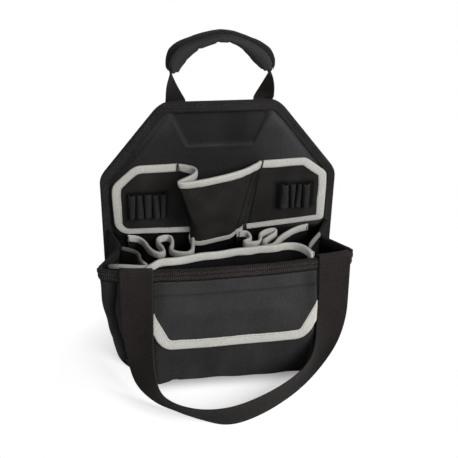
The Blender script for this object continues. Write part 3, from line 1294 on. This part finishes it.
def sleeve():
    """The holster sleeve: cloth spanned from its foot to its mouth, taped at both, and its bartacks."""
    mouth, foot = (resample_row(np.array(curve, float), 90) for curve in (SLEEVE_MOUTH, SLEEVE_FOOT))
    up, around = np.linspace(0, 1, 56)[:, None], np.linspace(0, 1, 90)[None]
    grid = lerp(foot, mouth, (up ** 1.15)[..., None])
    grid[..., 2] = lerp(foot[:, 2], mouth[:, 2], up)
    folds = ripple(grid * np.array([1.0, 1.0, 0.35]), 34.0, 82)
    loose = 1.6 + 1.5 * ripple(grid, 62.0, 81) + 0.8 * folds
    swell = np.sin(math.pi * around) * loose * np.sin(math.pi * up)
    sewn = sum(bell(grid[..., 0] - lerp(low, high, up), 1.1) * (grid[..., 1] > 30)
               for high, low in SLEEVE_LINES)
    sewn = sewn * (around > 0.5)
    left = bell(around - 0.42, 0.13) * np.sin(math.pi * up) * 4.5
    bulge = front_normals(grid) * (swell - sewn)[..., None]
    grid = grid + bulge - np.array([1.0, 0.0, 0.0]) * left[..., None]
    cloth = cloth_piece("holster_cloth", grid, "wing_cloth", "bag", "holster_sleeve")
    tint(cloth, 0.08 + 0.14 * folds + 0.1 * ripple(grid, 26.0, 84) - 0.8 * sewn)
    for word, edge, inner, seed in (("mouth", grid[-1], grid[-6], 23), ("foot", grid[0], grid[5], 24)):
        path, inward, normal = edge_frames(edge[1:-1], inner[1:-1])
        width = 8.6 if word == "mouth" else np.interp(path[:, 0], (-40, -20, 20, 33), (6.5, 7.5, 6.0, 7.5))
        tape_piece("holster_%s_binding" % word, path, inward, normal, CLOTH, width, "grey_tape", "bag",
                   "holster_%s_tape" % word, seed=seed)
        sewn_tape(path, inward, normal, width * 0.84, TAPE_FACE + 0.1)
    for start, end, spread in BARTACKS:
        bartack(start, end, spread)


ELASTIC_Y, ELASTIC_HEIGHT = 62.4, 34.0
# One loop of the elastic: shares of its width, and how far out it stands as a share of the most
LOOP_SHAPE = (
    (0.0, 0.0), (0.04, 0.35), (0.18, 0.85), (0.36, 1.0), (0.55, 1.0), (0.76, 0.88), (0.92, 0.45), (1.0, 0.0),
)


def elastic(word, start, foot, loops):
    """A strip sewn down between its loops; each loop is given by its width."""
    path, seams, left = [(start, 0.0)], [start + 0.8], start
    for index, width in enumerate(loops):
        left += 1.6
        out = 6.2 + 1.3 * math.sin(index * 2.3 + 1.0)
        path += [(left + across * width, share * out) for across, share in LOOP_SHAPE]
        left += width
        seams.append(left + 0.8)
    path.append((left + 1.6, 0.0))
    table = refine([(x, ELASTIC_Y - out, 0.0) for x, out in path], 0.45, 6)
    x, out, up = table[:, 0], ELASTIC_Y - table[:, 1], np.linspace(0, 1, 26)[:, None]
    flatter = 0.12 * np.sin(up * math.pi * 2) - 0.1 * (1 - up)
    across = x + 2.2 * (up - 0.5) * np.sin(x * 0.31)
    height = foot + up * ELASTIC_HEIGHT + 0.5 * np.sin(across * 0.9)
    grid = np.stack([across, table[:, 1] + out * flatter, height], axis=-1)
    strip = cloth_piece(word + "_elastic_strip", grid, "elastic", "bag", word + "_elastic_loops",
                        thickness=ELASTIC)
    tint(strip, 0.25 - 1.2 * (1 - ease((ELASTIC_Y - grid[..., 1]) / 5.5)))
    for x in seams:
        line = [(x, ELASTIC_Y - 0.7, z) for z in (foot + 2, foot + ELASTIC_HEIGHT - 2)]
        seam("bag", "black_thread", dense_line(line))


# The top edge of each strip of tool loops: across, back, and how far it stands over its lowest place
LEFT_TOOL_LOOPS = (
    (-126, 63.0, 6.0), (-115, 62.5, 4.0), (-108, 58, 2.5), (-103, 48, 2), (-100, 36, 2), (-96, 26, 2),
    (-91, 20, 2), (-85, 17.5, 2), (-80, 21, 2), (-81, 32, 2), (-84.5, 43, 2), (-86.5, 53, 2),
    (-84, 60.5, 2.4), (-76, 63.2, 3), (-69, 62, 2.4), (-66.5, 52, 2), (-68, 40, 2), (-70, 28, 2),
    (-66, 19.5, 2), (-57, 15.5, 2), (-48, 16, 2), (-42, 23, 2), (-40, 36, 2), (-38.5, 49, 2),
    (-37, 62.5, 2.5),
)
RIGHT_TOOL_LOOPS = (
    (24, 63.5, 4), (32.5, 63.5, 4), (39, 61, 3), (41, 51, 2), (37, 43, 2), (30.5, 36.5, 2), (34, 33, 2),
    (43, 33, 2), (51, 37.5, 2), (54.5, 46, 2), (56, 56, 2), (62.5, 62, 3), (71, 63, 5), (78, 62.5, 5),
    (76.5, 56, 3), (67, 48, 2), (58.5, 40, 2), (57, 29, 2), (62.5, 23.5, 2), (71, 29, 2), (80, 42, 2),
    (92, 55, 3), (107, 61.5, 5.5), (124, 63.3, 9),
)
LOOPS_REAR_Y, LOOPS_FOOT, LOOPS_TOP = 61.9, 68.0, 128.0


def tool_loops(word, table):
    row = refine([(x, y - 1.7, rise) for x, y, rise in table], FINE)
    x, y, rise = row[:, 0], np.minimum(row[:, 1], LOOPS_REAR_Y), row[:, 2]
    share = np.linspace(0, 1, 22)[:, None]
    rear = LOOPS_REAR_Y - (LOOPS_REAR_Y - y) * lerp(0.55, 1.0, ease(share))
    height = lerp(LOOPS_FOOT, LOOPS_TOP, share) + rise * ease(share)
    grid = np.stack([np.broadcast_to(x, rear.shape), rear, height], axis=-1)
    grid[..., 2] += ripple(grid, 30.0, 91) * 0.6
    loops = cloth_piece(word + "_tool_loop_cloth", grid, "black_cloth", "bag", word + "_tool_loops")
    tint(loops, -0.4 - 0.35 * ease((122 - grid[..., 2]) / 14))
    path, inward, normal = edge_frames(grid[-1], grid[-4])
    tape_piece(word + "_tool_loop_binding", path, inward, normal, CLOTH, 7.6, "grey_tape", "bag",
               word + "_tool_loops_tape", seed=27)
    sewn_tape(path, inward, normal, 6.4, TAPE_FACE + 0.05)


# Pockets inside the pouch

INNER_EDGE = (
    (-105.5, -38.5, 142), (-98, -39.5, 146), (-88, -37.5, 149), (-72, -37, 150), (-56, -31.5, 150),
    (-40, -28.5, 150), (-24, -27, 150), (-8, -23.5, 150), (9, -20, 150), (26, -18, 150), (42, -17, 150),
    (56, -17.5, 150), (66, -16.5, 150), (76, -12, 150), (88, -12.5, 150), (97, -18, 150), (104, -27, 149),
    (107.5, -36, 146), (107, -39, 142),
)
INNER_FOOT = ((-95.0, -61.5, 34.0), (95.0, -61.5, 34.0))
CORNER_EDGES = {
    -1: ((-134, 9, 145), (-126, 4, 145), (-117, -4, 145), (-113.5, -13, 145), (-112, -23, 144.5),
         (-108, -30, 143.5), (-105, -33.5, 142.5), (-106, -36, 142), (-112, -36, 142), (-122, -34.5, 142),
         (-134, -32, 142), (-145, -29, 141.5), (-152, -26, 140)),
    1: ((130, 18, 147), (122, 8, 146), (114, -3, 145), (109, -13, 145), (107.5, -22, 145), (110, -31, 145)),
}


def inner_front_pocket():
    edge = resample_row(np.array(INNER_EDGE, float), 90)
    foot = np.linspace(*np.array(INNER_FOOT), 90)
    share = np.linspace(0, 1, 34)[:, None]
    grid = lerp(foot, edge, share[..., None])
    grid[..., 1] = lerp(foot[:, 1] + share * 20, edge[:, 1], np.sin(share * math.pi / 2) ** 0.8)
    grid[-4:, :, 2] += ripple(grid[-4:], 44.0, 95) * 0.8
    pocket = cloth_piece("inner_pocket_cloth", grid, "black_cloth", "bag", "inner_front_pocket")
    tint(pocket, np.full(grid.shape[:2], -0.7))
    path, inward, normal = edge_frames(grid[-1], grid[-4])
    tape_piece("inner_pocket_binding", path, inward, normal, CLOTH, 8.4, "grey_tape", "bag",
               "inner_pocket_tape", seed=29)
    sewn_tape(path, inward, normal, 7.1, TAPE_FACE + 0.05)


def corner_pocket(side, word):
    edge = resample_row(np.array(CORNER_EDGES[side], float), 70)
    foot = lerp(edge, edge.mean(axis=0), 0.25) * (1.0, 1.0, 0.0) + np.array([side * 6.0, -2.0, 50.0])
    grid = lerp(foot, edge, np.linspace(0, 1, 22)[:, None, None])
    grid = grid + grid_normals(grid) * (ripple(grid, 40.0, 97) * 0.6)[..., None]
    pocket = cloth_piece(word + "_corner_pocket_cloth", grid, "black_cloth", "bag", word + "_corner_pocket")
    tint(pocket, np.full(grid.shape[:2], -0.75))
    path, inward, normal = edge_frames(grid[-1], grid[-3])
    width = np.interp(path[:, 1], (-34.0, -26.0, 0.0), (6.5, 3.6, 2.8)) if side < 0 else 4.8
    tape = tape_piece(word + "_corner_pocket_binding", path, inward, normal, 0.4, width, "grey_tape", "bag",
                      word + "_corner_pocket_tape", seed=33)
    tint(tape, along_tape(-0.5 * ease((path[:, 1] + 33.0) / 6.0) - (0.25 if side < 0 else 0.0)))


# Stitches, made with Geometry Nodes along every gathered seam


def stitch_tree():
    """Rounded stitches at an even spacing along the edges of a mesh."""
    tree = bpy.data.node_groups.new("stitch_rows", "GeometryNodeTree")
    for label, way, kind in (
        ("Geometry", "INPUT", "Geometry"), ("Spacing", "INPUT", "Float"),
        ("Stitch Length", "INPUT", "Float"), ("Thread Radius", "INPUT", "Float"),
        ("Thread", "INPUT", "Material"), ("Geometry", "OUTPUT", "Geometry"),
    ):
        tree.interface.new_socket(label, in_out=way, socket_type="NodeSocket" + kind)
    made = {}
    for label, kind in (
        ("into", "NodeGroupInput"), ("curve", "GeometryNodeMeshToCurve"),
        ("even", "GeometryNodeResampleCurve"), ("ball", "GeometryNodeMeshUVSphere"),
        ("stretch", "GeometryNodeTransform"), ("size", "ShaderNodeCombineXYZ"),
        ("along", "GeometryNodeInputTangent"), ("turn", "FunctionNodeAlignRotationToVector"),
        ("put", "GeometryNodeInstanceOnPoints"), ("vary", "FunctionNodeRandomValue"),
        ("real", "GeometryNodeRealizeInstances"), ("thread", "GeometryNodeSetMaterial"),
        ("out", "NodeGroupOutput"),
    ):
        made[label] = tree.nodes.new(kind)
    made["even"].mode = "LENGTH"
    made["turn"].axis = "Z"
    for label, socket, value in (
        ("ball", "Segments", 5), ("ball", "Rings", 4), ("ball", "Radius", 1.0),
        ("vary", 2, 0.85), ("vary", 3, 1.1), ("vary", "Seed", 5),
    ):
        made[label].inputs[socket].default_value = value
    for source, out, target, into in (
        ("into", "Geometry", "curve", "Mesh"), ("curve", "Curve", "even", "Curve"),
        ("into", "Spacing", "even", "Length"), ("into", "Thread Radius", "size", "X"),
        ("into", "Thread Radius", "size", "Y"), ("into", "Stitch Length", "size", "Z"),
        ("ball", "Mesh", "stretch", "Geometry"), ("size", "Vector", "stretch", "Scale"),
        ("along", "Tangent", "turn", "Vector"), ("even", "Curve", "put", "Points"),
        ("stretch", "Geometry", "put", "Instance"), ("turn", "Rotation", "put", "Rotation"),
        ("vary", 1, "put", "Scale"), ("put", "Instances", "real", "Geometry"),
        ("real", "Geometry", "thread", "Geometry"), ("into", "Thread", "thread", "Material"),
        ("thread", "Geometry", "out", "Geometry"),
    ):
        tree.links.new(made[source].outputs[out], made[target].inputs[into])
    return tree


def sew():
    """One piece for all rows of the same thread on the same body."""
    tree = stitch_tree()
    keys = {item.name: item.identifier for item in tree.interface.items_tree if item.in_out == "INPUT"}
    for (body, thread, thick), rows in sorted(SEAMS.items()):
        dense = thick >= BARTACK_THREAD
        ends = np.cumsum([len(row) for row in rows])
        edges = [(i, i + 1) for i in range(ends[-1] - 1) if i + 1 not in ends]
        mesh = bpy.data.meshes.new("seam_paths")
        mesh.from_pydata((np.vstack(rows) * MM).tolist(), edges, [])
        paths = add_object("seam_paths", mesh)
        modifier = paths.modifiers.new("stitches", "NODES")
        modifier.node_group = tree
        modifier[keys["Spacing"]] = (BARTACK_STEP if dense else STITCH_STEP) * MM
        modifier[keys["Stitch Length"]] = STITCH_LENGTH * MM
        modifier[keys["Thread Radius"]] = thick * MM
        modifier[keys["Thread"]] = LOOKS[thread]
        final_mesh(paths)
        sewn = paths.data
        bpy.data.objects.remove(paths)
        sewn.name = "%s_%s_%s" % (thread.split("_")[0], "bartacks" if dense else "stitches", body)
        sewn.shade_smooth()
        stitches = add_object(sewn.name, sewn)
        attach(stitches, body)


# Camera, lights and floor

FLOOR_SIDES = 48
FLOOR_RINGS = (0.6, 1.4, 3.0, 6.0)
# In metres: the middle of the part of the floor that shows shadows, and where it begins and ends to fade
SHADOW_MIDDLE, SHADOW_FADE = (0.0, -0.11, 0.0), (0.165, 0.25)
# In metres: the middle and half size of the block whose foot darkens the floor beside it, and how far it does
FOOT_MIDDLE, FOOT_HALF, FOOT_SHADE = (0.0, -0.024, 0.0), (0.088, 0.060, 0.0), 0.030


def camera():
    turn, tip, roll = CAMERA_TURN
    forward = Vector((math.sin(turn) * math.cos(tip), math.cos(turn) * math.cos(tip), -math.sin(tip)))
    level = Vector((math.cos(turn), -math.sin(turn), 0.0))
    fall = forward.cross(level)
    right = level * math.cos(roll) + fall * math.sin(roll)
    down = fall * math.cos(roll) - level * math.sin(roll)
    away = right * CAMERA_OFFSET[0] + down * CAMERA_OFFSET[1] + forward * CAMERA_OFFSET[2]
    eye = (Vector(CAMERA_PIN) - away) * MM
    lens = bpy.data.cameras.new("camera")
    lens.sensor_width = SENSOR_WIDTH
    lens.lens = FOCAL_PIXELS * SENSOR_WIDTH / IMAGE_SIZE
    lens.clip_start = 0.05
    view = add_object("camera", lens)
    view.matrix_world = Matrix([(right[i], -down[i], -forward[i], eye[i]) for i in range(3)] + [(0, 0, 0, 1)])
    bpy.context.scene.camera = view


def lamp(name, spot, aim, size, power):
    light = bpy.data.lights.new(name, "AREA")
    light.size = size
    light.energy = power
    obj = add_object(name, light)
    obj.location = spot
    obj.rotation_euler = (Vector(aim) - Vector(spot)).to_track_quat("-Z", "Y").to_euler()


def studio():
    """Two soft lamps, and a world that is white to look at and only a dim fill for the cloth."""
    lamp("key_lamp", (1.15, -1.45, 1.25), (0.0, 0.0, 0.12), 0.9, 30.0)
    lamp("front_lamp", (0.1, -1.8, 0.9), (0.0, 0.0, 0.15), 1.0, 9.0)
    world = bpy.data.worlds.new("studio")
    bpy.context.scene.world = world
    world.use_nodes = True
    nodes = Nodes(world)
    rays = nodes.add("ShaderNodeLightPath").outputs
    mirrored = nodes.maths("MAXIMUM", rays["Is Glossy Ray"], rays["Is Transmission Ray"])
    seen = nodes.maths("MAXIMUM", rays["Is Camera Ray"], mirrored)
    strength = nodes.spread(seen, 0.0, 1.0, 0.09, 1.0)
    nodes.feed(world.node_tree.nodes["Background"], {"Color": WHITE, "Strength": strength})


def floor_material():
    """Pale and matt; a little way from the bag it fades to the white of the background."""
    material, nodes, shader = new_material("pale_floor")
    nodes.feed(shader, {"Base Color": (0.86, 0.86, 0.86, 1.0), "Roughness": 0.9, "Specular IOR Level": 0.1})
    seen = nodes.add("ShaderNodeLightPath").outputs["Is Camera Ray"]
    bright = nodes.glow(nodes.maths("MULTIPLY", seen, 0.58))
    lit = nodes.add("ShaderNodeAddShader", {0: shader.outputs[0], 1: bright}).outputs[0]
    spot = nodes.place("Object")
    away = nodes.vector("DISTANCE", spot, SHADOW_MIDDLE)
    beyond = nodes.maths("MULTIPLY", nodes.spread(away, *SHADOW_FADE), seen)
    faded = nodes.either(beyond, lit, nodes.glow(1.0))
    aside = nodes.vector("ABSOLUTE", nodes.vector("SUBTRACT", spot, FOOT_MIDDLE))
    beside = nodes.vector("MAXIMUM", nodes.vector("SUBTRACT", aside, FOOT_HALF), (0.0, 0.0, 0.0))
    near = nodes.spread(nodes.vector("LENGTH", beside), 0.0, FOOT_SHADE, 0.62, 0.0, "SMOOTHSTEP")
    surface = nodes.either(nodes.maths("MULTIPLY", near, seen), faded, nodes.glow(0.0))
    nodes.feed(material.node_tree.nodes["Material Output"], {"Surface": surface})
    return material


def floor():
    turns = np.linspace(0, 2 * math.pi, FLOOR_SIDES, endpoint=False)
    ring = np.column_stack([np.cos(turns), np.sin(turns), np.zeros(FLOOR_SIDES)])
    rings = np.array([ring * radius for radius in FLOOR_RINGS])
    index = numbered(rings, wrap=True)
    middle = index.max() + 1
    fan = [(middle, first, second) for first, second in zip(index[0], index[0, 1:])]
    mesh = bpy.data.meshes.new("floor")
    points = [*rings.reshape(-1, 3).tolist(), (0, 0, 0)]
    mesh.from_pydata(points, [], fan + sheet_faces(index)[:, ::-1].tolist())
    obj = add_object("floor", mesh)
    obj.data.materials.append(floor_material())


def boards():
    """The two stiffening boards inside the cloth stay, with a better material."""
    for name in ("back_board", "base_board"):
        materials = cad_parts[name].data.materials
        materials.clear()
        materials.append(LOOKS["stiffening_board"])


camera()
studio()
floor()
boards()
back_panel()
front_panel()
gussets()
base()
front_pocket()
flap()
carry_strap()
strap_ends()
grip()
handle_webbing()
for side, word in SIDES:
    wing(side, word)
sleeve()
elastic("left", -124.5, 161.5, (8.2, 9.0, 10.3, 8.0, 7.4))
elastic("right", 80.5, 168.0, (12.3, 7.2, 7.0, 9.8))
tool_loops("left", LEFT_TOOL_LOOPS)
tool_loops("right", RIGHT_TOOL_LOOPS)
inner_front_pocket()
for side, word in SIDES:
    corner_pocket(side, word)
sew()

bpy.context.scene.view_settings.view_transform = "Standard"
